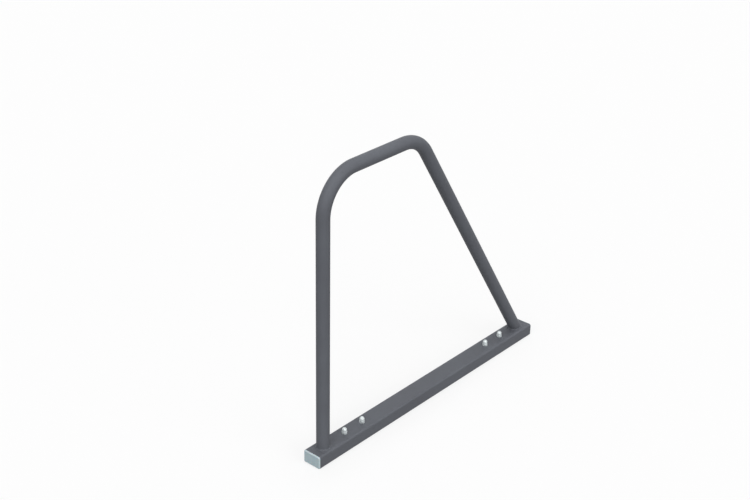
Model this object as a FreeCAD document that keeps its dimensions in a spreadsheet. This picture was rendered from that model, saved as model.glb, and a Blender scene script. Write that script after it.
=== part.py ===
import FreeCAD, Part
import math
import os

import Sketcher

# Hoop bike rack: a bent tube welded on a box-section rail that is bolted to the ground.
# Millimetres, +Z up. X runs along the rail and the front end is at -X. The origin is on the
# ground, under the middle of the rail.

# Driving dimensions. Each is written once, here, and everything else follows from them.
SIZES = {
    # Rail: a box section, 60 x 40 x 3
    "rail_length": 1000,
    "rail_width": 60,
    "rail_height": 40,
    "rail_wall": 3,
    "rail_corner": 6,
    # Hoop: one round tube, 38 x 2.6, with two bends
    "tube_diameter": 38,
    "tube_wall": 2.6,
    "hoop_height": 870,
    "bend_radius": 115,
    "top_straight": 200,
    "front_leg_inset": 43,
    "rear_leg_inset": 46.5,
    "foot_weld": 3.5,
    "foot_weld_crown": 0.8,
    "vent_hole": 14,
    # Ground fixings: four M10 studs in a line, a pair at each end
    "fixing_inset": 132,
    "fixing_spacing": 75,
    "stud_diameter": 10,
    "stud_recess": 0.5,
    "stud_chamfer": 1,
    "hole_clearance": 1,
    "sleeve_wall": 3,
    # Cap nuts: a hexagon under a dome. A spanner leaves the flats at an angle to the rail.
    "nut_flats": 15,
    "nut_turn": 8,
    "nut_corner_bevel": 0.5,
    "bevel_angle": 30,
    "hex_height": 8,
    "nut_height": 19,
    "dome_diameter": 14.4,
    "nut_bore_depth": 13,
    "thread_gap": 0.05,
    "stud_end_gap": 1,
    # End caps: a bevelled head on a hollow skirt with gripping fins
    "cap_head": 3.5,
    "cap_bevel": 2.8,
    "cap_edge_round": 0.8,
    "skirt_length": 24,
    "skirt_wall": 1.8,
    "fin_reach": 2,
    "fin_thickness": 1.2,
    "fin_pitch": 5,
    "fin_count": 4,
    "first_fin": 3,
    "cap_fit": 0.1,
}

# What follows from the sizes: the places and lengths that more than one piece needs.
PLACES = {
    "front_end": "-Sizes.rail_length / 2",
    "rear_end": "Sizes.rail_length / 2",
    "rail_middle": "Sizes.rail_height / 2",
    "cavity_width": "Sizes.rail_width - 2 * Sizes.rail_wall",
    "cavity_height": "Sizes.rail_height - 2 * Sizes.rail_wall",
    "cavity_corner": "Sizes.rail_corner - Sizes.rail_wall",
    "tube_radius": "Sizes.tube_diameter / 2",
    "tube_bore": "Sizes.tube_diameter - 2 * Sizes.tube_wall",
    "front_leg": "front_end + Sizes.front_leg_inset",
    "rear_foot": "rear_end - Sizes.rear_leg_inset",
    "top_axis": "Sizes.hoop_height - tube_radius",
    "bend_height": "top_axis - Sizes.bend_radius",
    "front_bend": "front_leg + Sizes.bend_radius",
    "rear_bend": "front_bend + Sizes.top_straight",
    # The rear leg rises from its foot as a tangent of the rear bend's circle.
    "rear_run": "rear_foot - rear_bend",
    "rear_rise": "bend_height - Sizes.rail_height",
    "rear_reach": "sqrt(rear_run * rear_run + rear_rise * rear_rise)",
    "rear_slant": "atan(rear_run / rear_rise) - asin(Sizes.bend_radius / rear_reach)",
    # A foot weld is a round bead whose centre lies a little inside the corner it fills.
    "bead_height": "Sizes.rail_height - Sizes.foot_weld_crown",
    "bead_reach": "Sizes.foot_weld + Sizes.foot_weld_crown",
    "bead_radius": "sqrt(bead_reach * bead_reach"
                   " + Sizes.foot_weld_crown * Sizes.foot_weld_crown)",
    "first_fixing": "front_end + Sizes.fixing_inset",
    "second_fixing": "first_fixing + Sizes.fixing_spacing",
    "pair_to_pair": "-first_fixing - second_fixing",
    "fixing_hole": "Sizes.stud_diameter + 2 * Sizes.hole_clearance",
    "sleeve_diameter": "fixing_hole + 2 * Sizes.sleeve_wall",
    "stud_length": "Sizes.rail_height + Sizes.nut_bore_depth - Sizes.stud_end_gap"
                   " - Sizes.stud_recess",
    "nut_bore": "Sizes.stud_diameter + 2 * Sizes.thread_gap",
    "nut_corners": "Sizes.nut_flats / cos(30)",
    # What a cutting block or groove has to spare beyond the piece that it cuts
    "spare": "2 * Sizes.tube_diameter",
    "fin_width": "cavity_width - 2 * Sizes.cap_fit",
    "fin_height": "cavity_height - 2 * Sizes.cap_fit",
    "fin_corner": "cavity_corner - Sizes.cap_fit",
    "skirt_width": "fin_width - 2 * Sizes.fin_reach",
    "skirt_height": "fin_height - 2 * Sizes.fin_reach",
}

doc = FreeCAD.newDocument("HoopBikeRack")
cuts = []


def make_sheet(name, cells):
    """A sheet with one aliased cell for each entry. A text value is a formula."""
    sheet = doc.addObject("Spreadsheet::Sheet", name)
    for row, (alias, value) in enumerate(cells.items(), start=1):
        sheet.set(f"A{row}", alias)
        sheet.set(f"B{row}", "=" + value if isinstance(value, str) else str(value))
        sheet.setAlias(f"B{row}", alias)
    doc.recompute()
    return sheet


def value_of(expression):
    """The number that an expression gives with the sizes as they are."""
    result = doc.Sizes.evalExpression(expression)
    return float(getattr(result, "Value", result))


def bind(item, **expressions):
    """Ties properties to expressions. Two underscores in a name stand for a point."""
    for name, expression in expressions.items():
        item.setExpression(name.replace("__", "."), expression)


def make_body(label):
    """An empty body whose label names its piece."""
    body = doc.addObject("PartDesign::Body", label)
    body.Label = label
    return body


def origin_part(body, role):
    """One of the body's own origin planes or axes."""
    return next(item for item in body.Origin.OriginFeatures if item.Role == role)


def make_sketch(body, name, plane, **offsets):
    """A sketch on an origin plane of the body, moved by the expressions for x, y or z."""
    sketch = body.newObject("Sketcher::SketchObject", name)
    sketch.AttachmentSupport = [(origin_part(body, plane), "")]
    sketch.MapMode = "FlatFace"
    for axis, expression in offsets.items():
        sketch.setExpression(f"AttachmentOffset.Base.{axis}", expression)
    return sketch


def measure(sketch, kind, *items):
    """A dimension of the sketch. The last item is the expression that drives it."""
    *places, expression = items
    number = sketch.addConstraint(Sketcher.Constraint(kind, *places, value_of(expression)))
    sketch.setExpression(f"Constraints[{number}]", expression)


def relate(sketch, kind, *places):
    """A relation of the sketch that has no size."""
    sketch.addConstraint(Sketcher.Constraint(kind, *places))


def line(sketch, start, end):
    """A line from one (x, y) to another."""
    return sketch.addGeometry(Part.LineSegment(FreeCAD.Vector(*start, 0), FreeCAD.Vector(*end, 0)))


def arc(sketch, centre, radius, start, end):
    """An arc that runs anticlockwise from one angle to another, in degrees."""
    circle = Part.Circle(FreeCAD.Vector(*centre, 0), FreeCAD.Vector(0, 0, 1), radius)
    return sketch.addGeometry(Part.ArcOfCircle(circle, math.radians(start), math.radians(end)))


def round_hole(sketch, diameter, x=None):
    """A circle on the sketch's X axis, at its origin unless x gives another place."""
    centre = FreeCAD.Vector(value_of(x) if x else 0, 0, 0)
    circle = Part.Circle(centre, FreeCAD.Vector(0, 0, 1), value_of(diameter) / 2)
    index = sketch.addGeometry(circle)
    if x:
        relate(sketch, "PointOnObject", index, 3, -1)
        measure(sketch, "DistanceX", -1, 1, index, 3, x)
    else:
        relate(sketch, "Coincident", index, 3, -1, 1)
    measure(sketch, "Diameter", index, diameter)


def rounded_rectangle(sketch, width, height, corner):
    """A rectangle with round corners about the sketch's origin."""
    w, h, r = value_of(width) / 2, value_of(height) / 2, value_of(corner)
    sides = []
    rounds = []
    corners = ((w, -h), (w, h), (-w, h), (-w, -h))
    for turn, (x, y) in enumerate(corners):
        last_x, last_y = corners[turn - 1]
        along_x = math.copysign(r, x - last_x) if x != last_x else 0
        along_y = math.copysign(r, y - last_y) if y != last_y else 0
        start = (last_x + along_x, last_y + along_y)
        sides.append(line(sketch, start, (x - along_x, y - along_y)))
        centre = (math.copysign(w - r, x), math.copysign(h - r, y))
        rounds.append(arc(sketch, centre, r, 90 * turn - 90, 90 * turn))
    for turn in range(4):
        relate(sketch, "Tangent", sides[turn], 2, rounds[turn], 1)
        relate(sketch, "Tangent", rounds[turn], 2, sides[(turn + 1) % 4], 1)
        relate(sketch, "Vertical" if turn % 2 else "Horizontal", sides[turn])
    for other in rounds[1:]:
        relate(sketch, "Equal", rounds[0], other)
    bottom, right, top, left = sides
    measure(sketch, "Radius", rounds[0], corner)
    measure(sketch, "DistanceX", -1, 1, right, 1, f"({width}) / 2")
    measure(sketch, "DistanceX", left, 1, right, 1, width)
    measure(sketch, "DistanceY", bottom, 1, -1, 1, f"({height}) / 2")
    measure(sketch, "DistanceY", bottom, 1, top, 1, height)


def rectangle(sketch, left, right, bottom, top):
    """An upright rectangle between four expressions."""
    x0, x1, y0, y1 = (value_of(item) for item in (left, right, bottom, top))
    points = ((x0, y0), (x1, y0), (x1, y1), (x0, y1))
    sides = [line(sketch, points[n], points[(n + 1) % 4]) for n in range(4)]
    for turn, side in enumerate(sides):
        relate(sketch, "Coincident", side, 2, sides[(turn + 1) % 4], 1)
        relate(sketch, "Vertical" if turn % 2 else "Horizontal", side)
    measure(sketch, "DistanceX", -1, 1, sides[0], 1, left)
    measure(sketch, "DistanceX", sides[0], 1, sides[0], 2, f"({right}) - ({left})")
    measure(sketch, "DistanceY", -1, 1, sides[0], 1, bottom)
    measure(sketch, "DistanceY", sides[1], 1, sides[1], 2, f"({top}) - ({bottom})")


def make_pad(body, sketch, length, **settings):
    """Material raised from a sketch."""
    pad = body.newObject("PartDesign::Pad", "Pad")
    pad.Profile = sketch
    for name, setting in settings.items():
        setattr(pad, name, setting)
    pad.setExpression("Length", length)
    doc.recompute()
    return pad


def make_pocket(body, sketch, length=None, **settings):
    """Material cut from a sketch: to a depth, or right through."""
    pocket = body.newObject("PartDesign::Pocket", "Pocket")
    pocket.Profile = sketch
    for name, setting in settings.items():
        setattr(pocket, name, setting)
    if length:
        pocket.setExpression("Length", length)
    else:
        pocket.Type = "ThroughAll"
    doc.recompute()
    cuts.append(pocket)
    return pocket


def repeat_fixing(body):
    """Repeats the whole body at the second fixing, then both of them at the rear pair."""
    for name, offset in (("Pair", "Sizes.fixing_spacing"), ("OtherPair", "Places.pair_to_pair")):
        row = body.newObject("PartDesign::LinearPattern", name)
        row.TransformMode = "Whole shape"
        row.Direction = (origin_part(body, "X_Axis"), [""])
        row.Mode = "Spacing"
        row.setExpression("Offset", offset)
        row.Occurrences = 2
        body.Tip = row
        doc.recompute()


def make_rail():
    """The box section, with its fixing holes and a vent hole under each leg of the hoop."""
    body = make_body("base_rail")
    section = make_sketch(body, "Section", "YZ_Plane", y="Places.rail_middle")
    rounded_rectangle(section, "Sizes.rail_width", "Sizes.rail_height", "Sizes.rail_corner")
    rounded_rectangle(section, "Places.cavity_width", "Places.cavity_height", "Places.cavity_corner")
    make_pad(body, section, "Sizes.rail_length", Midplane=True)
    holes = make_sketch(body, "FixingHoles", "XY_Plane")
    for place in ("Places.first_fixing", "Places.second_fixing"):
        round_hole(holes, "Places.fixing_hole", place)
        round_hole(holes, "Places.fixing_hole", f"-{place}")
    make_pocket(body, holes, Reversed=True)
    vents = make_sketch(body, "VentHoles", "XY_Plane", z="Sizes.rail_height")
    for place in ("Places.front_leg", "Places.rear_foot"):
        round_hole(vents, "Sizes.vent_hole", place)
    make_pocket(body, vents, "Sizes.rail_wall")
    return body


def draw_hoop_path(sketch):
    """The tube's centre line: up the front leg, over the top and down the slanted rear leg."""
    foot, top = value_of("Sizes.rail_height"), value_of("Places.top_axis")
    bend_height, radius = value_of("Places.bend_height"), value_of("Sizes.bend_radius")
    front, rear = value_of("Places.front_leg"), value_of("Places.rear_foot")
    front_bend, rear_bend = value_of("Places.front_bend"), value_of("Places.rear_bend")
    slant = value_of("Places.rear_slant")
    lean = math.radians(slant)
    overrun = value_of("Places.spare")
    leg = line(sketch, (front, foot), (front, bend_height))
    first = arc(sketch, (front_bend, bend_height), radius, 90, 180)
    bar = line(sketch, (front_bend, top), (rear_bend, top))
    second = arc(sketch, (rear_bend, bend_height), radius, slant, 90)
    start = (rear_bend + radius * math.cos(lean), bend_height + radius * math.sin(lean))
    slope = line(sketch, start, (rear + overrun * math.tan(lean), foot - overrun))
    target = sketch.addGeometry(Part.Point(FreeCAD.Vector(rear, foot, 0)))
    relate(sketch, "Tangent", leg, 2, first, 2)
    relate(sketch, "Tangent", first, 1, bar, 1)
    relate(sketch, "Tangent", bar, 2, second, 2)
    relate(sketch, "Tangent", second, 1, slope, 1)
    relate(sketch, "Vertical", leg)
    relate(sketch, "Horizontal", bar)
    relate(sketch, "Equal", first, second)
    relate(sketch, "PointOnObject", target, 1, slope)
    sketch.setConstruction(target, True)
    measure(sketch, "Radius", first, "Sizes.bend_radius")
    measure(sketch, "DistanceX", bar, 1, bar, 2, "Sizes.top_straight")
    measure(sketch, "DistanceX", -1, 1, leg, 1, "Places.front_leg")
    measure(sketch, "DistanceY", -1, 1, leg, 1, "Sizes.rail_height")
    measure(sketch, "DistanceY", -1, 1, bar, 1, "Places.top_axis")
    measure(sketch, "DistanceX", -1, 1, target, 1, "Places.rear_foot")
    measure(sketch, "DistanceY", -1, 1, target, 1, "Sizes.rail_height")
    measure(sketch, "DistanceY", slope, 2, target, 1, "Places.spare")


def make_hoop():
    """The bent tube. Its rear leg is drawn too long and cut off level with the rail's top."""
    body = make_body("hoop")
    path = make_sketch(body, "CentreLine", "XZ_Plane")
    draw_hoop_path(path)
    ring = make_sketch(body, "TubeSection", "XY_Plane", x="Places.front_leg", z="Sizes.rail_height")
    round_hole(ring, "Sizes.tube_diameter")
    round_hole(ring, "Places.tube_bore")
    doc.recompute()
    pipe = body.newObject("PartDesign::AdditivePipe", "Tube")
    pipe.Profile = ring
    pipe.Spine = (path, [f"Edge{number}" for number in range(1, 6)])
    doc.recompute()
    mitre = make_sketch(body, "Mitre", "XZ_Plane")
    rectangle(
        mitre,
        "Places.rear_foot - Places.spare",
        "Places.rear_foot + 2 * Places.spare",
        "Sizes.rail_height - 2 * Places.spare",
        "Sizes.rail_height",
    )
    make_pocket(body, mitre, Midplane=True)
    return body


def make_primitive(kind, name, **expressions):
    """A Part primitive whose sizes and place are expressions."""
    item = doc.addObject(f"Part::{kind}", name)
    bind(item, **expressions)
    return item


def make_cut(label, base, tools):
    """A named piece: the base without the tools."""
    for number, tool in enumerate(tools, start=1):
        last = number == len(tools)
        cut = doc.addObject("Part::Cut", label if last else f"{label}_{number}")
        cut.Base = base
        cut.Tool = tool
        base = cut
    base.Label = label
    return base


def below_rail_top(name, centre):
    """A block that takes away what a bead has below the rail's top."""
    return make_primitive(
        "Box",
        name,
        Length="2 * Places.spare",
        Width="2 * Places.spare",
        Height="Places.spare",
        Placement__Base__x=f"{centre} - Places.spare",
        Placement__Base__y="-Places.spare",
        Placement__Base__z="Sizes.rail_height - Places.spare",
    )


def make_front_weld():
    """The bead round the upright leg: a ring in the corner between tube and rail."""
    bead = make_primitive(
        "Torus",
        "FrontBead",
        Radius1="Places.tube_radius - Sizes.foot_weld_crown",
        Radius2="Places.bead_radius",
        Placement__Base__x="Places.front_leg",
        Placement__Base__z="Places.bead_height",
    )
    leg = make_primitive(
        "Cylinder",
        "FrontLegSpace",
        Radius="Places.tube_radius",
        Height="2 * Places.spare",
        Placement__Base__x="Places.front_leg",
        Placement__Base__z="Sizes.rail_height - Places.spare",
    )
    block = below_rail_top("FrontRailSpace", "Places.front_leg")
    return make_cut("front_foot_weld", bead, (block, leg))


def make_rear_weld():
    """The bead round the slanted leg follows the ellipse where the tube meets the rail."""
    ellipse = make_primitive(
        "Ellipse",
        "RearBeadPath",
        MajorRadius="Places.tube_radius / cos(Places.rear_slant) - Sizes.foot_weld_crown",
        MinorRadius="Places.tube_radius - Sizes.foot_weld_crown",
        Placement__Base__x="Places.rear_foot",
        Placement__Base__z="Places.bead_height",
    )
    section = make_primitive(
        "Circle",
        "RearBeadSection",
        Radius="Places.bead_radius",
        Placement__Base__x="Places.rear_foot + Places.tube_radius / cos(Places.rear_slant)"
                           " - Sizes.foot_weld_crown",
        Placement__Base__z="Places.bead_height",
    )
    section.Placement.Rotation = FreeCAD.Rotation(FreeCAD.Vector(1, 0, 0), 90)
    bead = doc.addObject("Part::Sweep", "RearBead")
    bead.Sections = [section]
    bead.Spine = (ellipse, ["Edge1"])
    bead.Solid = True
    leg = make_primitive(
        "Cylinder",
        "RearLegSpace",
        Radius="Places.tube_radius",
        Height="2 * Places.spare",
        Placement__Base__x="Places.rear_foot + Places.spare * sin(Places.rear_slant)",
        Placement__Base__z="Sizes.rail_height - Places.spare * cos(Places.rear_slant)",
    )
    backwards = FreeCAD.Vector(0, -1, 0)
    leg.Placement.Rotation = FreeCAD.Rotation(backwards, value_of("Places.rear_slant"))
    leg.setExpression("Placement.Rotation.Angle", "Places.rear_slant")
    block = below_rail_top("RearRailSpace", "Places.rear_foot")
    return make_cut("rear_foot_weld", bead, (block, leg))


def face_at(feature, axis, sign):
    """The name of the flat face that lies furthest along an axis."""
    centres = [sign * getattr(face.CenterOfMass, axis) for face in feature.Shape.Faces]
    return f"Face{centres.index(max(centres)) + 1}"


def make_end_cap(label, rear):
    """A plug: it is drawn for the rear end and turned round for the front one."""
    body = make_body(label)
    outline = make_sketch(body, "HeadOutline", "YZ_Plane")
    rounded_rectangle(outline, "Sizes.rail_width", "Sizes.rail_height", "Sizes.rail_corner")
    head = make_pad(body, outline, "Sizes.cap_head")
    bevel = body.newObject("PartDesign::Chamfer", "Bevel")
    bevel.Base = (head, [face_at(head, "x", 1)])
    bevel.setExpression("Size", "Sizes.cap_bevel")
    doc.recompute()
    softened = body.newObject("PartDesign::Fillet", "SoftEdge")
    softened.Base = (bevel, [face_at(bevel, "x", 1)])
    softened.setExpression("Radius", "Sizes.cap_edge_round")
    doc.recompute()
    skirt = make_sketch(body, "Skirt", "YZ_Plane")
    rounded_rectangle(skirt, "Places.skirt_width", "Places.skirt_height", "Sizes.skirt_wall")
    make_pad(body, skirt, "Sizes.skirt_length", Reversed=True)
    fin = make_sketch(body, "Fin", "YZ_Plane", z="-Sizes.first_fin")
    rounded_rectangle(fin, "Places.fin_width", "Places.fin_height", "Places.fin_corner")
    first = make_pad(body, fin, "Sizes.fin_thickness", Reversed=True)
    fins = body.newObject("PartDesign::LinearPattern", "Fins")
    fins.Originals = [first]
    fins.Direction = (origin_part(body, "X_Axis"), [""])
    fins.Reversed = True
    fins.Mode = "Spacing"
    fins.setExpression("Offset", "Sizes.fin_pitch")
    fins.setExpression("Occurrences", "Sizes.fin_count")
    body.Tip = fins
    doc.recompute()
    hollow = make_sketch(body, "Hollow", "YZ_Plane")
    rounded_rectangle(
        hollow,
        "Places.skirt_width - 2 * Sizes.skirt_wall",
        "Places.skirt_height - 2 * Sizes.skirt_wall",
        "Sizes.skirt_wall / 2",
    )
    make_pocket(body, hollow, "Sizes.skirt_length")
    if not rear:
        body.Placement.Rotation = FreeCAD.Rotation(FreeCAD.Vector(0, 0, 1), 180)
    bind(
        body,
        Placement__Base__x="Places.rear_end" if rear else "Places.front_end",
        Placement__Base__z="Places.rail_middle",
    )
    return body


def make_sleeve(label, place):
    """A spacer inside the rail, so that a tightened nut can't squeeze the section."""
    body = make_body(label)
    ring = make_sketch(body, "Ring", "XY_Plane")
    round_hole(ring, "Places.sleeve_diameter")
    round_hole(ring, "Places.fixing_hole")
    make_pad(body, ring, "Places.cavity_height")
    bind(body, Placement__Base__x=place, Placement__Base__z="Sizes.rail_wall")
    return body


def make_studs():
    """Four studs, from just above the ground to inside their nuts."""
    body = make_body("anchor_studs")
    body.AllowCompound = True
    foot = make_sketch(body, "Foot", "XY_Plane", x="Places.first_fixing", z="Sizes.stud_recess")
    round_hole(foot, "Sizes.stud_diameter")
    rod = make_pad(body, foot, "Places.stud_length")
    bevel = body.newObject("PartDesign::Chamfer", "Bevel")
    bevel.Base = (rod, [face_at(rod, "z", 1), face_at(rod, "z", -1)])
    bevel.setExpression("Size", "Sizes.stud_chamfer")
    doc.recompute()
    repeat_fixing(body)
    return body


def hexagon(sketch, across_corners):
    """A hexagon about the sketch's origin, with two of its flats square to the X axis."""
    corner = value_of(across_corners) / 2
    angles = [math.radians(60 * n + 30) for n in range(6)]
    points = [(corner * math.cos(angle), corner * math.sin(angle)) for angle in angles]
    sides = [line(sketch, points[n], points[(n + 1) % 6]) for n in range(6)]
    circle = Part.Circle(FreeCAD.Vector(0, 0, 0), FreeCAD.Vector(0, 0, 1), corner)
    ring = sketch.addGeometry(circle, True)
    relate(sketch, "Coincident", ring, 3, -1, 1)
    for number, side in enumerate(sides):
        relate(sketch, "Coincident", side, 2, sides[(number + 1) % 6], 1)
        relate(sketch, "PointOnObject", side, 1, ring)
    for side in sides[1:]:
        relate(sketch, "Equal", sides[0], side)
    relate(sketch, "Vertical", sides[5])
    measure(sketch, "Diameter", ring, across_corners)


def bevel_corners(body, name, level, upward):
    """Turns the hexagon's corners off in a cone, at its top or at its seat."""
    sketch = make_sketch(body, name, "XZ_Plane", x="Places.first_fixing", y="Sizes.rail_height")
    inner, outer = "Sizes.nut_flats / 2 - Sizes.nut_corner_bevel", "Places.nut_corners"
    depth = f"(({outer}) - ({inner})) * tan(Sizes.bevel_angle)"
    z0 = value_of(level) if level else 0
    x0, x1 = value_of(inner), value_of(outer)
    z1 = z0 + value_of(depth) * (1 if upward else -1)
    points = ((x0, z0), (x1, z0), (x1, z1))
    sides = [line(sketch, points[n], points[(n + 1) % 3]) for n in range(3)]
    for number, side in enumerate(sides):
        relate(sketch, "Coincident", side, 2, sides[(number + 1) % 3], 1)
    relate(sketch, "Horizontal", sides[0])
    relate(sketch, "Vertical", sides[1])
    measure(sketch, "DistanceX", -1, 1, sides[0], 1, inner)
    measure(sketch, "DistanceX", -1, 1, sides[0], 2, outer)
    if level:
        measure(sketch, "DistanceY", -1, 1, sides[0], 1, level)
    else:
        relate(sketch, "PointOnObject", sides[0], 1, -1)
    ends = (1, 2) if upward else (2, 1)
    measure(sketch, "DistanceY", sides[1], ends[0], sides[1], ends[1], depth)
    groove = body.newObject("PartDesign::Groove", f"{name}Groove")
    groove.Profile = sketch
    groove.ReferenceAxis = (sketch, ["V_Axis"])
    groove.Angle = 360
    doc.recompute()
    cuts.append(groove)


def make_dome(body):
    """The round top of the nut, a short cylinder under half a ball."""
    sketch = make_sketch(body, "Dome", "XZ_Plane", x="Places.first_fixing", y="Sizes.rail_height")
    radius, seat = value_of("Sizes.dome_diameter") / 2, value_of("Sizes.hex_height") / 2
    top = value_of("Sizes.nut_height")
    axis = line(sketch, (0, top), (0, seat))
    base = line(sketch, (0, seat), (radius, seat))
    wall = line(sketch, (radius, seat), (radius, top - radius))
    ball = arc(sketch, (0, top - radius), radius, 0, 90)
    relate(sketch, "Coincident", axis, 2, base, 1)
    relate(sketch, "Coincident", base, 2, wall, 1)
    relate(sketch, "Tangent", wall, 2, ball, 1)
    relate(sketch, "Coincident", ball, 2, axis, 1)
    relate(sketch, "PointOnObject", axis, 1, -2)
    relate(sketch, "PointOnObject", ball, 3, -2)
    relate(sketch, "Vertical", axis)
    relate(sketch, "Vertical", wall)
    relate(sketch, "Horizontal", base)
    measure(sketch, "DistanceX", base, 1, base, 2, "Sizes.dome_diameter / 2")
    measure(sketch, "DistanceY", -1, 1, axis, 1, "Sizes.nut_height")
    measure(sketch, "DistanceY", -1, 1, base, 1, "Sizes.hex_height / 2")
    dome = body.newObject("PartDesign::Revolution", "DomeRevolution")
    dome.Profile = sketch
    dome.ReferenceAxis = (sketch, ["V_Axis"])
    dome.Angle = 360
    doc.recompute()


def make_nuts():
    """Four cap nuts on the rail's top."""
    body = make_body("cap_nuts")
    body.AllowCompound = True
    seat = {"x": "Places.first_fixing", "z": "Sizes.rail_height"}
    outline = make_sketch(body, "Hexagon", "XY_Plane", **seat)
    upright = FreeCAD.Vector(0, 0, 1)
    turn = FreeCAD.Rotation(upright, value_of("Sizes.nut_turn"))
    outline.AttachmentOffset = FreeCAD.Placement(FreeCAD.Vector(), turn)
    outline.setExpression("AttachmentOffset.Rotation.Angle", "Sizes.nut_turn")
    hexagon(outline, "Places.nut_corners")
    make_pad(body, outline, "Sizes.hex_height")
    bevel_corners(body, "TopBevel", "Sizes.hex_height", False)
    bevel_corners(body, "SeatBevel", None, True)
    make_dome(body)
    bore = make_sketch(body, "Bore", "XY_Plane", **seat)
    round_hole(bore, "Places.nut_bore")
    make_pocket(body, bore, "Sizes.nut_bore_depth", Reversed=True)
    repeat_fixing(body)
    return body


def check(pieces):
    """Stops if any object failed, a cut took nothing away or a piece isn't sound."""
    doc.recompute()
    for item in doc.Objects:
        if {"Invalid", "Error"} & set(item.State):
            raise RuntimeError(f"{item.Name} failed: {item.State}")
        if item.isDerivedFrom("Sketcher::SketchObject") and not item.FullyConstrained:
            raise RuntimeError(f"{item.Label} isn't fully constrained")
    for cut in cuts:
        if cut.Shape.Volume >= cut.BaseFeature.Shape.Volume:
            raise RuntimeError(f"{cut.Name} cut nothing")
    for piece in pieces:
        if piece.Shape.isNull() or not piece.Shape.isValid():
            raise RuntimeError(f"{piece.Label} has no valid shape")


def export(pieces):
    """Writes each piece to its own file, named by its label."""
    os.makedirs("parts", exist_ok=True)
    for piece in pieces:
        piece.Shape.exportStep(f"parts/{piece.Label}.step")
        solids = len(piece.Shape.Solids)
        print(f"{piece.Label}: {solids} solid(s), {piece.Shape.Volume / 1000:.1f} cm3")


make_sheet("Sizes", SIZES)
make_sheet("Places", PLACES)
sleeve_places = (
    "Places.first_fixing",
    "Places.second_fixing",
    "-Places.second_fixing",
    "-Places.first_fixing",
)
pieces = [
    make_rail(),
    make_hoop(),
    make_front_weld(),
    make_rear_weld(),
    make_end_cap("front_end_cap", rear=False),
    make_end_cap("rear_end_cap", rear=True),
    make_studs(),
    make_nuts(),
]
for number, place in enumerate(sleeve_places, start=1):
    pieces.append(make_sleeve(f"spacer_sleeve_{number}", place))
check(pieces)
export(pieces)
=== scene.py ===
import math

import bmesh
import bpy
import numpy as np
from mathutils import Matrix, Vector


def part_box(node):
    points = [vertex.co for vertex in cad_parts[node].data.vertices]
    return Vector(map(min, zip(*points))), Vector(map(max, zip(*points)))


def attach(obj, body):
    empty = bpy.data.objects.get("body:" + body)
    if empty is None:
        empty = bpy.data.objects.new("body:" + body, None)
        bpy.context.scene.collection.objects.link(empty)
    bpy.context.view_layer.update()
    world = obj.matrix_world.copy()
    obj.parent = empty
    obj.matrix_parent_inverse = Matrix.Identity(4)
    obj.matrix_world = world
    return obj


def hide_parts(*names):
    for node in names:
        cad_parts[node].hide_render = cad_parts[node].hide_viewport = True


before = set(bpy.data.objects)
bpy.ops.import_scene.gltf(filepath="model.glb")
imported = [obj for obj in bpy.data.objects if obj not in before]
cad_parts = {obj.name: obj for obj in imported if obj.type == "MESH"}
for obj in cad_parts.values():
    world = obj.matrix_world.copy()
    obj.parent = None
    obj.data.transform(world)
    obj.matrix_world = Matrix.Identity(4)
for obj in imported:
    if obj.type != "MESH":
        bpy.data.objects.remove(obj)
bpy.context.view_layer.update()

MM = 0.001

# Sizes that the frame doesn't give, as in the part's own source. Angles are in degrees.
BEND_RADIUS = 115 * MM
TOP_STRAIGHT = 200 * MM
TUBE_WALL = 2.6 * MM
RAIL_CORNER = 6 * MM
RAIL_WALL = 3 * MM
BEAD_LEG = 3.5 * MM
BEAD_CROWN = 0.8 * MM
CAP_BEVEL = 2.8 * MM
CAP_EDGE_ROUND = 0.8 * MM
SKIRT_WALL = 1.8 * MM
FIN_REACH = 2 * MM
FIN_THICKNESS = 1.2 * MM
FIN_PITCH = 5 * MM
FIN_COUNT = 4
FIRST_FIN = 3 * MM
CAP_FIT = 0.1 * MM
FIXING_INSET = 132 * MM
FIXING_SPACING = 75 * MM
NUT_FLATS = 15 * MM
NUT_TURN = 8
HEX_HEIGHT = 8 * MM
NUT_BEVEL = 0.5 * MM
NUT_CONE = 30
DOME_RADIUS = 7.2 * MM
NUT_BORE_RADIUS = 5.05 * MM
NUT_BORE_DEPTH = 13 * MM

# Weld beads are laid in dabs, and each dab leaves a ripple. A dab sets at its toes first, so
# its edge is bowed: it lags by the bow times the square of the angle from the bead's middle.
DAB_PITCH = 3.2 * MM
DAB_BOW = 12
RIPPLE_DEPTH = 0.35 * MM

# How finely round shapes are cut, as numbers of points
TUBE_SIDES = 96
FRONT_BEND_POINTS = 49
REAR_BEND_POINTS = 33
DAB_POINTS = 14
BEAD_ARC_POINTS = 13
CORNER_POINTS = 10
CAP_EDGE_POINTS = 6
DOME_POINTS = 17
CONE_POINTS = 9
NUT_SIDES = 96

# An edge whose faces turn by more degrees than this stays sharp. The rail has an angle of its
# own, because its mesh brings normals along from the frame, and they count when its edges are
# judged. At this angle its round corners stay round, but so do some rims of its holes.
SHARP_ANGLE = 30
RAIL_SHARP_ANGLE = 40

# Places from the frame
rail_low, rail_high = (np.array(corner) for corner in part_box("base_rail"))
hoop_low, hoop_high = (np.array(corner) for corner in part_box("hoop"))
RAIL_TOP = rail_high[2]
TUBE_RADIUS = (hoop_high[1] - hoop_low[1]) / 2


def middle_x(node):
    """The middle of a node's box along the rail."""
    low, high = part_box(node)
    return (low[0] + high[0]) / 2


FRONT_LEG = middle_x("front_foot_weld")
REAR_FOOT = middle_x("rear_foot_weld")
BEND_HEIGHT = hoop_high[2] - TUBE_RADIUS - BEND_RADIUS
FRONT_BEND = FRONT_LEG + BEND_RADIUS
REAR_BEND = FRONT_BEND + TOP_STRAIGHT


def rear_slant():
    """The rear leg's angle from upright: from its foot it runs as a tangent to the bend."""
    run = REAR_FOOT - REAR_BEND
    rise = BEND_HEIGHT - RAIL_TOP
    return math.atan2(run, rise) - math.asin(BEND_RADIUS / math.hypot(run, rise))


SLANT = rear_slant()


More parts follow.
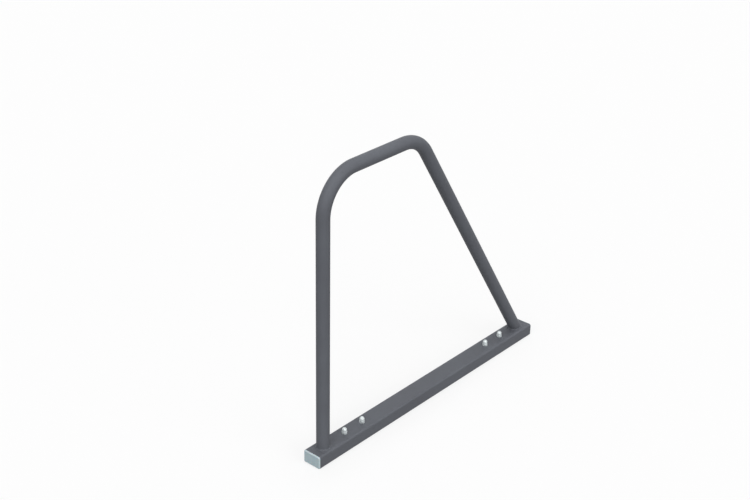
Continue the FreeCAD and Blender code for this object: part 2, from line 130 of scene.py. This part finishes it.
def grid_mesh(name, points, close_rows=False):
    """A mesh over a grid of points whose columns close on themselves.

    Each point joins its neighbours to the right and below. The last row joins the first one
    where the rows close too. Points that fall together are merged, which closes the poles.
    """
    rows, columns = points.shape[:2]
    index = np.arange(rows * columns).reshape(rows, columns)
    if close_rows:
        index = np.vstack([index, index[:1]])
    index = np.hstack([index, index[:, :1]])
    corners = (index[:-1, :-1], index[:-1, 1:], index[1:, 1:], index[1:, :-1])
    faces = np.stack(corners, axis=-1).reshape(-1, 4)
    mesh = bpy.data.meshes.new(name)
    mesh.from_pydata(points.reshape(-1, 3), [], faces)
    close_up(mesh)
    return mesh


def close_up(mesh, distance=0.001 * MM):
    """Merges points that fall together and turns the faces outwards."""
    work = bmesh.new()
    work.from_mesh(mesh)
    bmesh.ops.remove_doubles(work, verts=work.verts, dist=distance)
    bmesh.ops.dissolve_degenerate(work, edges=work.edges, dist=distance)
    bmesh.ops.recalc_face_normals(work, faces=work.faces)
    work.to_mesh(mesh)
    work.free()


def add_piece(mesh, node, materials, sharp=SHARP_ANGLE):
    """Puts a mesh in the place of a node, shaded round apart from its sharp edges."""
    piece = bpy.data.objects.new(mesh.name, mesh)
    bpy.context.scene.collection.objects.link(piece)
    for material in materials:
        mesh.materials.append(material)
    mesh.shade_smooth()
    mesh.set_sharp_from_angle(angle=math.radians(sharp))
    weights = piece.modifiers.new("FlatFacesLeadTheShading", "WEIGHTED_NORMAL")
    weights.keep_sharp = True
    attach(piece, "root")
    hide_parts(node)


def hoop_path():
    """The tube's centre line: points, and the direction of travel at each of them.

    The direction is an angle from straight up towards +X. A bend's points are its centre
    plus its radius times the outward normal, which is a quarter turn from the direction.
    """
    first = np.linspace(0, math.pi / 2, FRONT_BEND_POINTS)
    second = np.linspace(math.pi / 2, math.pi - SLANT, REAR_BEND_POINTS)
    turns = np.concatenate([[0], first, second, [math.pi - SLANT]])
    centres = np.repeat([FRONT_BEND, REAR_BEND], [1 + len(first), len(second) + 1])
    x = centres - BEND_RADIUS * np.cos(turns)
    z = BEND_HEIGHT + BEND_RADIUS * np.sin(turns)
    x[0], z[0] = FRONT_LEG, RAIL_TOP
    x[-1], z[-1] = REAR_FOOT, RAIL_TOP
    return np.stack([x, np.zeros_like(x), z], axis=1), turns


def tube_wall(radius):
    """A tube's wall along the hoop's path.

    A ring's point is the path's point plus the radius times the cosine and the sine of the
    ring's angle, along the outward normal and along Y. The end rings slide along their leg
    until they lie level on the rail.
    """
    path, turns = hoop_path()
    ring = np.linspace(0, 2 * math.pi, TUBE_SIDES, endpoint=False)
    zero = np.zeros_like(turns)
    normal = np.stack([-np.cos(turns), zero, np.sin(turns)], axis=1)
    travel = np.stack([np.sin(turns), zero, np.cos(turns)], axis=1)
    across = np.array([0, 1, 0])
    wall = (
        path[:, None]
        + radius * np.cos(ring)[None, :, None] * normal[:, None]
        + radius * np.sin(ring)[None, :, None] * across
    )
    for end in (0, -1):
        slide = (RAIL_TOP - wall[end, :, 2]) / travel[end, 2]
        wall[end] += slide[:, None] * travel[end]
    return wall


def make_hoop(material):
    """The bent tube: its outer wall up to the far foot and its inner wall back again."""
    outer = tube_wall(TUBE_RADIUS)
    inner = tube_wall(TUBE_RADIUS - TUBE_WALL)
    mesh = grid_mesh("hoop_tube", np.concatenate([outer, inner[::-1]]), close_rows=True)
    add_piece(mesh, "hoop", [material])


def make_bead(name, node, foot, slant, material):
    """A fillet weld round a leg's foot.

    Its path is the ellipse where the tube meets the rail. Its section is the corner between
    the rail's top and the tube's wall, closed by an arc whose radius falls by a cosine of
    the way along the path, so that each dab of the weld stands a little proud. The
    section's upright side leans with the leg.
    """
    half_length, half_width = TUBE_RADIUS / math.cos(slant), TUBE_RADIUS
    dabs = round(2 * math.pi * TUBE_RADIUS / DAB_PITCH)
    way = np.linspace(0, 2 * math.pi, dabs * DAB_POINTS, endpoint=False)
    zero = np.zeros_like(way)
    wall = np.stack([half_length * np.cos(way), half_width * np.sin(way), zero], axis=1)
    outward = np.stack([np.cos(way) / half_length, np.sin(way) / half_width, zero], axis=1)
    outward /= np.linalg.norm(outward, axis=1, keepdims=True)
    radius = math.hypot(BEAD_LEG + BEAD_CROWN, BEAD_CROWN)
    toe = math.asin(BEAD_CROWN / radius)
    arc = np.linspace(toe, math.pi / 2 - toe, BEAD_ARC_POINTS)
    lag = DAB_BOW * (arc - math.pi / 4) ** 2
    dip = RIPPLE_DEPTH * (0.5 - 0.5 * np.cos(dabs * way[None] + lag[:, None]))
    reach = np.maximum(-BEAD_CROWN + (radius - dip) * np.cos(arc)[:, None], 0)
    rise = np.maximum(-BEAD_CROWN + (radius - dip) * np.sin(arc)[:, None], 0)
    reach = np.vstack([reach, zero])
    rise = np.vstack([rise, zero])
    lean = np.array([-math.tan(slant), 0, 1])
    base = np.array([foot, 0, RAIL_TOP])
    points = base + wall[None] + reach[..., None] * outward[None] + rise[..., None] * lean
    mesh = grid_mesh(name, points, close_rows=True)
    add_piece(mesh, node, [material])


def make_rail(material):
    """The rail as the frame holds it, with its points merged so that its corners shade round."""
    mesh = bpy.data.objects["base_rail"].data.copy()
    mesh.name = "rail_section"
    mesh.materials.clear()
    close_up(mesh)
    add_piece(mesh, "base_rail", [material], sharp=RAIL_SHARP_ANGLE)


def rounded_outline(half_width, half_height, corner):
    """A rectangle with round corners: each corner's centre plus an arc of a quarter turn."""
    quarter = np.linspace(0, math.pi / 2, CORNER_POINTS)
    angle = np.concatenate([quarter + turn * math.pi / 2 for turn in range(4)])
    side_y = np.repeat([1, -1, -1, 1], CORNER_POINTS) * (half_width - corner)
    side_z = np.repeat([1, 1, -1, -1], CORNER_POINTS) * (half_height - corner)
    return np.stack([side_y + corner * np.cos(angle), side_z + corner * np.sin(angle)], axis=1)


def plug_rows(half_width, half_height, head, skirt):
    """The plug's outlines from the middle of its face to the bottom of its hollow.

    Each row is a depth, positive out of the rail, and an outline. The face turns into the
    bevel, which stands at 45 degrees, by a small arc. It starts before their edge by its
    radius times the tangent of half their angle.
    """
    rows = []
    middle = np.zeros((4 * CORNER_POINTS, 2))

    def row(depth, inset, corner):
        outline = rounded_outline(half_width - inset, half_height - inset, max(corner, 0))
        rows.append((depth, outline))

    rows.append((head, middle))
    turn = np.linspace(0, math.pi / 4, CAP_EDGE_POINTS)
    start = CAP_BEVEL + CAP_EDGE_ROUND * math.tan(math.pi / 8)
    insets = start - CAP_EDGE_ROUND * np.sin(turn)
    depths = head - CAP_EDGE_ROUND * (1 - np.cos(turn))
    for depth, inset in zip(depths, insets):
        row(depth, inset, RAIL_CORNER - inset)
    row(head - CAP_BEVEL, 0, RAIL_CORNER)
    row(0, 0, RAIL_CORNER)
    fin_inset = RAIL_WALL + CAP_FIT
    fin_corner = RAIL_CORNER - fin_inset
    skirt_inset = fin_inset + FIN_REACH
    row(0, skirt_inset, SKIRT_WALL)
    for number in range(FIN_COUNT):
        near = -FIRST_FIN - number * FIN_PITCH
        far = near - FIN_THICKNESS
        row(near, skirt_inset, SKIRT_WALL)
        row(near, fin_inset, fin_corner)
        row(far, fin_inset, fin_corner)
        row(far, skirt_inset, SKIRT_WALL)
    row(-skirt, skirt_inset, SKIRT_WALL)
    row(-skirt, skirt_inset + SKIRT_WALL, SKIRT_WALL / 2)
    row(0, skirt_inset + SKIRT_WALL, SKIRT_WALL / 2)
    rows.append((0, middle))
    return rows


def make_plug(name, node, sign, face_material, highlight_painted_rim_material):
    """An end plug: its rows, each at its depth from the rail's end. The rim is smooth, and its
    paler colour is painted highlight.

    The sign is the end's side along X: -1 at the front and 1 at the rear.
    """
    low, high = (np.array(corner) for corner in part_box(node))
    rail_end = rail_high[0] if sign > 0 else rail_low[0]
    outer, inner = (high[0], low[0]) if sign > 0 else (low[0], high[0])
    half_width, half_height = (high[1] - low[1]) / 2, (high[2] - low[2]) / 2
    rows = plug_rows(half_width, half_height, abs(outer - rail_end), abs(rail_end - inner))
    depth = np.array([row[0] for row in rows])
    outline = np.array([row[1] for row in rows])
    points = np.empty(outline.shape[:2] + (3,))
    points[..., 0] = rail_end + sign * depth[:, None]
    points[..., 1] = outline[..., 0]
    points[..., 2] = outline[..., 1] + (low[2] + high[2]) / 2
    mesh = grid_mesh(name, points)
    add_piece(mesh, node, [face_material, highlight_painted_rim_material])
    centres = np.empty(len(mesh.polygons) * 3)
    mesh.polygons.foreach_get("center", centres)
    from_end = sign * (centres.reshape(-1, 3)[:, 0] - rail_end)
    # The rim, whose paler colour is painted highlight, runs from where the edge's arc ends to the
    # rail. The skirt is as the face is.
    arc_drop = CAP_EDGE_ROUND * (1 - math.cos(math.pi / 4))
    below_face = from_end < abs(outer - rail_end) - arc_drop
    on_painted_highlight_rim = below_face & (from_end > -CAP_FIT)
    mesh.polygons.foreach_set("material_index", on_painted_highlight_rim.astype(np.int32))


def nut_profile():
    """The nut's profile from its dome's top over the hexagon, then up its bore: radius, height.

    A radius beyond the hexagon's reach stands for the hexagon itself. At each end a shallow
    cone takes its corners off, and reaches as far out as they do.
    """
    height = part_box("cap_nuts")[1][2] - RAIL_TOP
    ball = np.linspace(0, math.pi / 2, DOME_POINTS)
    ball_drop = DOME_RADIUS * (1 - np.cos(ball))
    dome = np.stack([DOME_RADIUS * np.sin(ball), height - ball_drop], axis=1)
    start = NUT_FLATS / 2 - NUT_BEVEL
    corner = NUT_FLATS / 2 / math.cos(math.pi / 6)
    out = np.linspace(0, 1, CONE_POINTS) * (corner - start)
    cone_drop = out * math.tan(math.radians(NUT_CONE))
    top = np.stack([start + out, HEX_HEIGHT - cone_drop], axis=1)
    seat = np.stack([start + out, cone_drop], axis=1)[::-1]
    bore = [
        (NUT_BORE_RADIUS, 0),
        (NUT_BORE_RADIUS, NUT_BORE_DEPTH),
        (0, NUT_BORE_DEPTH),
    ]
    return np.concatenate([dome, [(DOME_RADIUS, HEX_HEIGHT)], top, seat, bore])


def make_nuts(material):
    """Four domed nuts. A point's radius is the profile's, but no more than the hexagon's reach.

    The hexagon's reach at an angle is half its flats over the cosine of the angle from the
    middle of the nearest flat. Its first flat faces the turn's angle from the X axis.
    """
    profile = nut_profile()
    sixth = math.pi / 3
    first_corner = math.radians(NUT_TURN) - sixth / 2
    around = first_corner + np.linspace(0, 2 * math.pi, NUT_SIDES, endpoint=False)
    from_flat = np.mod(around - first_corner, sixth) - sixth / 2
    hexagon = NUT_FLATS / 2 / np.cos(from_flat)
    radius = np.minimum(profile[:, :1], hexagon[None])
    insets = np.array([FIXING_INSET, FIXING_INSET + FIXING_SPACING])
    places = [*(rail_low[0] + insets), *(rail_high[0] - insets[::-1])]
    nuts = bmesh.new()
    for number, place in enumerate(places):
        points = np.empty(radius.shape + (3,))
        points[..., 0] = place + radius * np.cos(around)
        points[..., 1] = radius * np.sin(around)
        points[..., 2] = RAIL_TOP + profile[:, 1:]
        part = grid_mesh(f"nut_{number}", points)
        nuts.from_mesh(part)
        bpy.data.meshes.remove(part)
    mesh = bpy.data.meshes.new("domed_nuts")
    nuts.to_mesh(mesh)
    nuts.free()
    add_piece(mesh, "cap_nuts", [material])


def linear(hex_colour):
    """An sRGB hex colour as linear red, green, blue and an alpha of 1."""
    values = np.array([int(hex_colour[i:i + 2], 16) for i in (1, 3, 5)]) / 255
    curved = np.where(values > 0.04045, ((values + 0.055) / 1.055) ** 2.4, values / 12.92)
    return (*curved.tolist(), 1.0)


def add_node(material, kind, sockets=(), **settings):
    """Adds a node: settings are its properties, and each socket gets a value or a link."""
    tree = material.node_tree
    made = tree.nodes.new("ShaderNode" + kind)
    for name, value in settings.items():
        setattr(made, name, value)
    for name, value in dict(sockets).items():
        if isinstance(value, bpy.types.NodeSocket):
            tree.links.new(value, made.inputs[name])
        else:
            made.inputs[name].default_value = value
    return made


def new_material(name):
    """A material with an empty node tree."""
    material = bpy.data.materials.new(name)
    material.use_nodes = True
    material.node_tree.nodes.clear()
    return material


def mottle(material, pattern, low, high, dark, light):
    """A colour that goes from the dark to the light hex colour as the pattern rises.

    The Mix node takes colours at its sockets 6 and 7 and gives one at its socket 2.
    """
    spread = add_node(material, "MapRange", {"Value": pattern, "From Min": low, "From Max": high})
    shares = {0: spread.outputs["Result"], 6: linear(dark), 7: linear(light)}
    return add_node(material, "Mix", shares, data_type="RGBA").outputs[2]


def powder_coat():
    """Satin grey polyester powder coat on blasted steel: an even colour under a faint orange peel.

    The eye sees a soft sheen with no clear reflection, slow drifts of tone from an uneven
    coat, and close to, the peel's low swells.
    """
    coat = new_material("satin_powder_coat")
    place = add_node(coat, "TexCoord").outputs["Object"]
    drift = add_node(coat, "TexNoise", {"Vector": place, "Scale": 1 / (90 * MM), "Detail": 3})
    # The real grain is about 0.2 mm. It is drawn at 1.2 mm, the least that shows.
    grain = add_node(coat, "TexNoise", {"Vector": place, "Scale": 1 / (1.2 * MM), "Detail": 1})
    tone = add_node(coat, "Mix", {
        "Factor": 0.35,
        "A": drift.outputs["Fac"],
        "B": grain.outputs["Fac"],
    })
    sheen = add_node(coat, "MapRange", {
        "Value": drift.outputs["Fac"],
        "From Min": 0.3,
        "From Max": 0.7,
        "To Min": 0.5,
        "To Max": 0.6,
    })
    # Orange peel swells are about 4 mm across and a few hundredths of a millimetre high.
    peel = add_node(coat, "TexNoise", {"Vector": place, "Scale": 1 / (4 * MM), "Detail": 1})
    bump = add_node(coat, "Bump", {
        "Strength": 0.25,
        "Distance": 0.08 * MM,
        "Height": peel.outputs["Fac"],
    })
    # Matting agents in the coat take most of its gloss.
    surface = add_node(coat, "BsdfPrincipled", {
        "Base Color": mottle(coat, tone.outputs["Result"], 0.34, 0.66, "#5E6066", "#64676D"),
        "Roughness": sheen.outputs["Result"],
        "Normal": bump.outputs["Normal"],
        "IOR": 1.5,
        "Specular IOR Level": 0.10,
    })
    add_node(coat, "OutputMaterial", {"Surface": surface.outputs["BSDF"]})
    return coat


def moulded_plastic(name, dark, light, roughness, texture):
    """Injection-moulded polyethylene, pale blue-grey, with the mould's own texture.

    The eye sees a soft matt skin. A spark-eroded face has a fine grain and a plain rim is
    smoother. The paler colours given for the rim are painted highlight, for the light its
    bevel catches. A little light goes in and comes out beside it.
    """
    plastic = new_material(name)
    place = add_node(plastic, "TexCoord").outputs["Object"]
    cloud = add_node(plastic, "TexNoise", {"Vector": place, "Scale": 1 / (14 * MM), "Detail": 2})
    # A spark-eroded grain is about 0.15 mm. It is drawn at 0.6 mm, the least that shows.
    grain = add_node(plastic, "TexNoise", {"Vector": place, "Scale": 1 / (0.6 * MM), "Detail": 2})
    bump = add_node(plastic, "Bump", {
        "Strength": texture,
        "Distance": 0.1 * MM,
        "Height": grain.outputs["Fac"],
    })
    surface = add_node(plastic, "BsdfPrincipled", {
        "Base Color": mottle(plastic, cloud.outputs["Fac"], 0.3, 0.7, dark, light),
        "Roughness": roughness,
        "Normal": bump.outputs["Normal"],
        "IOR": 1.51,
        "Subsurface Weight": 0.08,
        "Subsurface Scale": 1 * MM,
    })
    add_node(plastic, "OutputMaterial", {"Surface": surface.outputs["BSDF"]})
    return plastic


def zinc_plate():
    """Zinc plate under a matt silver seal, on pressed and turned steel.

    The eye sees a pale, slightly cool silver grey, half metal and half paint, with a broad soft
    highlight and no mirror image. Close to, the plate's grain mottles it under the seal.
    """
    plate = new_material("sealed_zinc_plate")
    place = add_node(plate, "TexCoord").outputs["Object"]
    cloud = add_node(plate, "TexNoise", {"Vector": place, "Scale": 1 / (5 * MM), "Detail": 3})
    # The plate's crystals are about 0.02 mm. The grain is drawn at 0.5 mm, the least that shows.
    grain = add_node(plate, "TexNoise", {"Vector": place, "Scale": 1 / (0.5 * MM), "Detail": 1})
    tone = add_node(plate, "Mix", {
        "Factor": 0.4,
        "A": cloud.outputs["Fac"],
        "B": grain.outputs["Fac"],
    })
    sheen = add_node(plate, "MapRange", {
        "Value": cloud.outputs["Fac"],
        "From Min": 0.3,
        "From Max": 0.7,
        "To Min": 0.5,
        "To Max": 0.6,
    })
    bump = add_node(plate, "Bump", {
        "Strength": 0.2,
        "Distance": 0.03 * MM,
        "Height": grain.outputs["Fac"],
    })
    surface = add_node(plate, "BsdfPrincipled", {
        "Base Color": mottle(plate, tone.outputs["Result"], 0.35, 0.65, "#CBD2D3", "#D5DBDC"),
        "Metallic": 0.5,
        "Roughness": sheen.outputs["Result"],
        "Normal": bump.outputs["Normal"],
    })
    add_node(plate, "OutputMaterial", {"Surface": surface.outputs["BSDF"]})
    return plate


def sawn_steel():
    """Mild steel tube, sawn to length and left as it was drawn: a dull metal with mill marks."""
    steel = new_material("sawn_steel")
    place = add_node(steel, "TexCoord").outputs["Object"]
    # The drawing die's marks are under a millimetre wide and run along the tube.
    stretched = add_node(steel, "Mapping", {"Vector": place, "Scale": (1, 1, 0.08)})
    marks = add_node(steel, "TexNoise", {
        "Vector": stretched.outputs["Vector"],
        "Scale": 1 / (0.5 * MM),
        "Detail": 2,
    })
    surface = add_node(steel, "BsdfPrincipled", {
        "Base Color": mottle(steel, marks.outputs["Fac"], 0.3, 0.7, "#7D7C7A", "#969592"),
        "Metallic": 1.0,
        "Roughness": 0.46,
    })
    add_node(steel, "OutputMaterial", {"Surface": surface.outputs["BSDF"]})
    return steel


def background_ray(material):
    """1 where a ray comes from the camera, a mirror or glass, and 0 for the light itself."""
    path = add_node(material, "LightPath").outputs
    eye_or_mirror = {0: path["Is Camera Ray"], 1: path["Is Glossy Ray"]}
    seen = add_node(material, "Math", eye_or_mirror, operation="MAXIMUM").outputs[0]
    or_glass = {0: seen, 1: path["Is Transmission Ray"]}
    return add_node(material, "Math", or_glass, operation="MAXIMUM").outputs[0]


def make_floor(size=60.0, reflects=0.24, lift=0.72):
    """A pale floor. It takes the object's shadow, and the lift makes it white to the eye."""
    ground = rail_low[2]
    corners = np.array([(-1, -1, 0), (1, -1, 0), (1, 1, 0), (-1, 1, 0)]) * size / 2
    mesh = bpy.data.meshes.new("floor")
    mesh.from_pydata(corners + [0, 0, ground], [], [(0, 1, 2, 3)])
    floor = bpy.data.objects.new("floor", mesh)
    bpy.context.scene.collection.objects.link(floor)
    material = new_material("pale_floor")
    grey = (reflects, reflects, reflects, 1)
    matt = add_node(material, "BsdfDiffuse", {"Color": grey})
    seen = add_node(material, "Math", {0: background_ray(material), 1: lift}, operation="MULTIPLY")
    glow = add_node(material, "Emission", {"Color": (1, 1, 1, 1), "Strength": seen.outputs[0]})
    both = add_node(material, "AddShader", {0: matt.outputs[0], 1: glow.outputs[0]})
    add_node(material, "OutputMaterial", {"Surface": both.outputs[0]})
    mesh.materials.append(material)


def make_world(ambient=0.30):
    """Even light from all round, with a white background behind it."""
    world = bpy.data.worlds.new("studio")
    world.use_nodes = True
    world.node_tree.nodes.clear()
    strength = add_node(world, "MapRange", {
        "Value": background_ray(world),
        "To Min": ambient,
        "To Max": 1.0,
    })
    light = add_node(world, "Background", {
        "Color": (1, 1, 1, 1),
        "Strength": strength.outputs["Result"],
    })
    add_node(world, "OutputWorld", {"Surface": light.outputs[0]})
    bpy.context.scene.world = world


def add_sun(name, towards, strength, angle):
    """A soft lamp far away, given by the direction from the object towards it."""
    lamp = bpy.data.lights.new(name, "SUN")
    lamp.energy = strength
    lamp.angle = math.radians(angle)
    holder = bpy.data.objects.new(name, lamp)
    x, y, z = towards
    holder.rotation_euler = (math.atan2(math.hypot(x, y), z), 0, math.atan2(y, x) + math.pi / 2)
    bpy.context.scene.collection.objects.link(holder)


def make_camera():
    """The camera looks down on the stand from beyond its front end, on the -Y side.

    The lens is for a sensor 36 mm wide. The shift puts the line of sight on the upright leg,
    at the photograph's column 323 of 750, so that the leg stays upright.
    """
    picture_width = 750
    upright_column = 323
    camera = bpy.data.cameras.new("camera")
    camera.sensor_width = 36
    camera.lens = 62.82
    camera.shift_x = (picture_width / 2 - upright_column) / picture_width
    camera.clip_end = 100
    holder = bpy.data.objects.new("camera", camera)
    pitch, heading = math.radians(26.655), math.radians(42.896)
    holder.location = (-2.6567, -2.0440, 2.1584)
    holder.rotation_euler = (math.pi / 2 - pitch, 0, heading - math.pi / 2)
    bpy.context.scene.collection.objects.link(holder)
    bpy.context.scene.camera = holder


def dress_node(node, material):
    """Gives a node of the frame another material."""
    slots = bpy.data.objects[node].material_slots
    for slot in slots:
        slot.link = "OBJECT"
        slot.material = material


paint = powder_coat()
plug_face = moulded_plastic("textured_plug_face", "#A9BBC1", "#B1C2C8", roughness=0.55, texture=0.3)
# The rim's paler colours are painted highlight; its smoothness is real.
painted_highlight_rim = moulded_plastic("smooth_plug_rim", "#B4C2C6", "#BBC8CD", roughness=0.35, texture=0.05)
zinc = zinc_plate()
steel = sawn_steel()

make_hoop(paint)
make_bead("front_bead", "front_foot_weld", FRONT_LEG, 0, paint)
make_bead("rear_bead", "rear_foot_weld", REAR_FOOT, SLANT, paint)
make_rail(paint)
make_plug("front_plug", "front_end_cap", -1, plug_face, painted_highlight_rim)
make_plug("rear_plug", "rear_end_cap", 1, plug_face, painted_highlight_rim)
make_nuts(zinc)
dress_node("anchor_studs", zinc)
for sleeve in ("spacer_sleeve_1", "spacer_sleeve_2", "spacer_sleeve_3", "spacer_sleeve_4"):
    dress_node(sleeve, steel)

make_floor()
make_world()
add_sun("side_window", (-0.66, -0.24, 0.71), strength=1.84, angle=50)
add_sun("low_window", (0, -0.97, 0.26), strength=1.24, angle=50)
add_sun("ceiling_lamp", (0.10, 0, 0.99), strength=0.80, angle=15)
add_sun("back_fill", (0.68, 0.68, 0.26), strength=0.30, angle=50)
make_camera()
bpy.context.scene.view_settings.view_transform = "Standard"
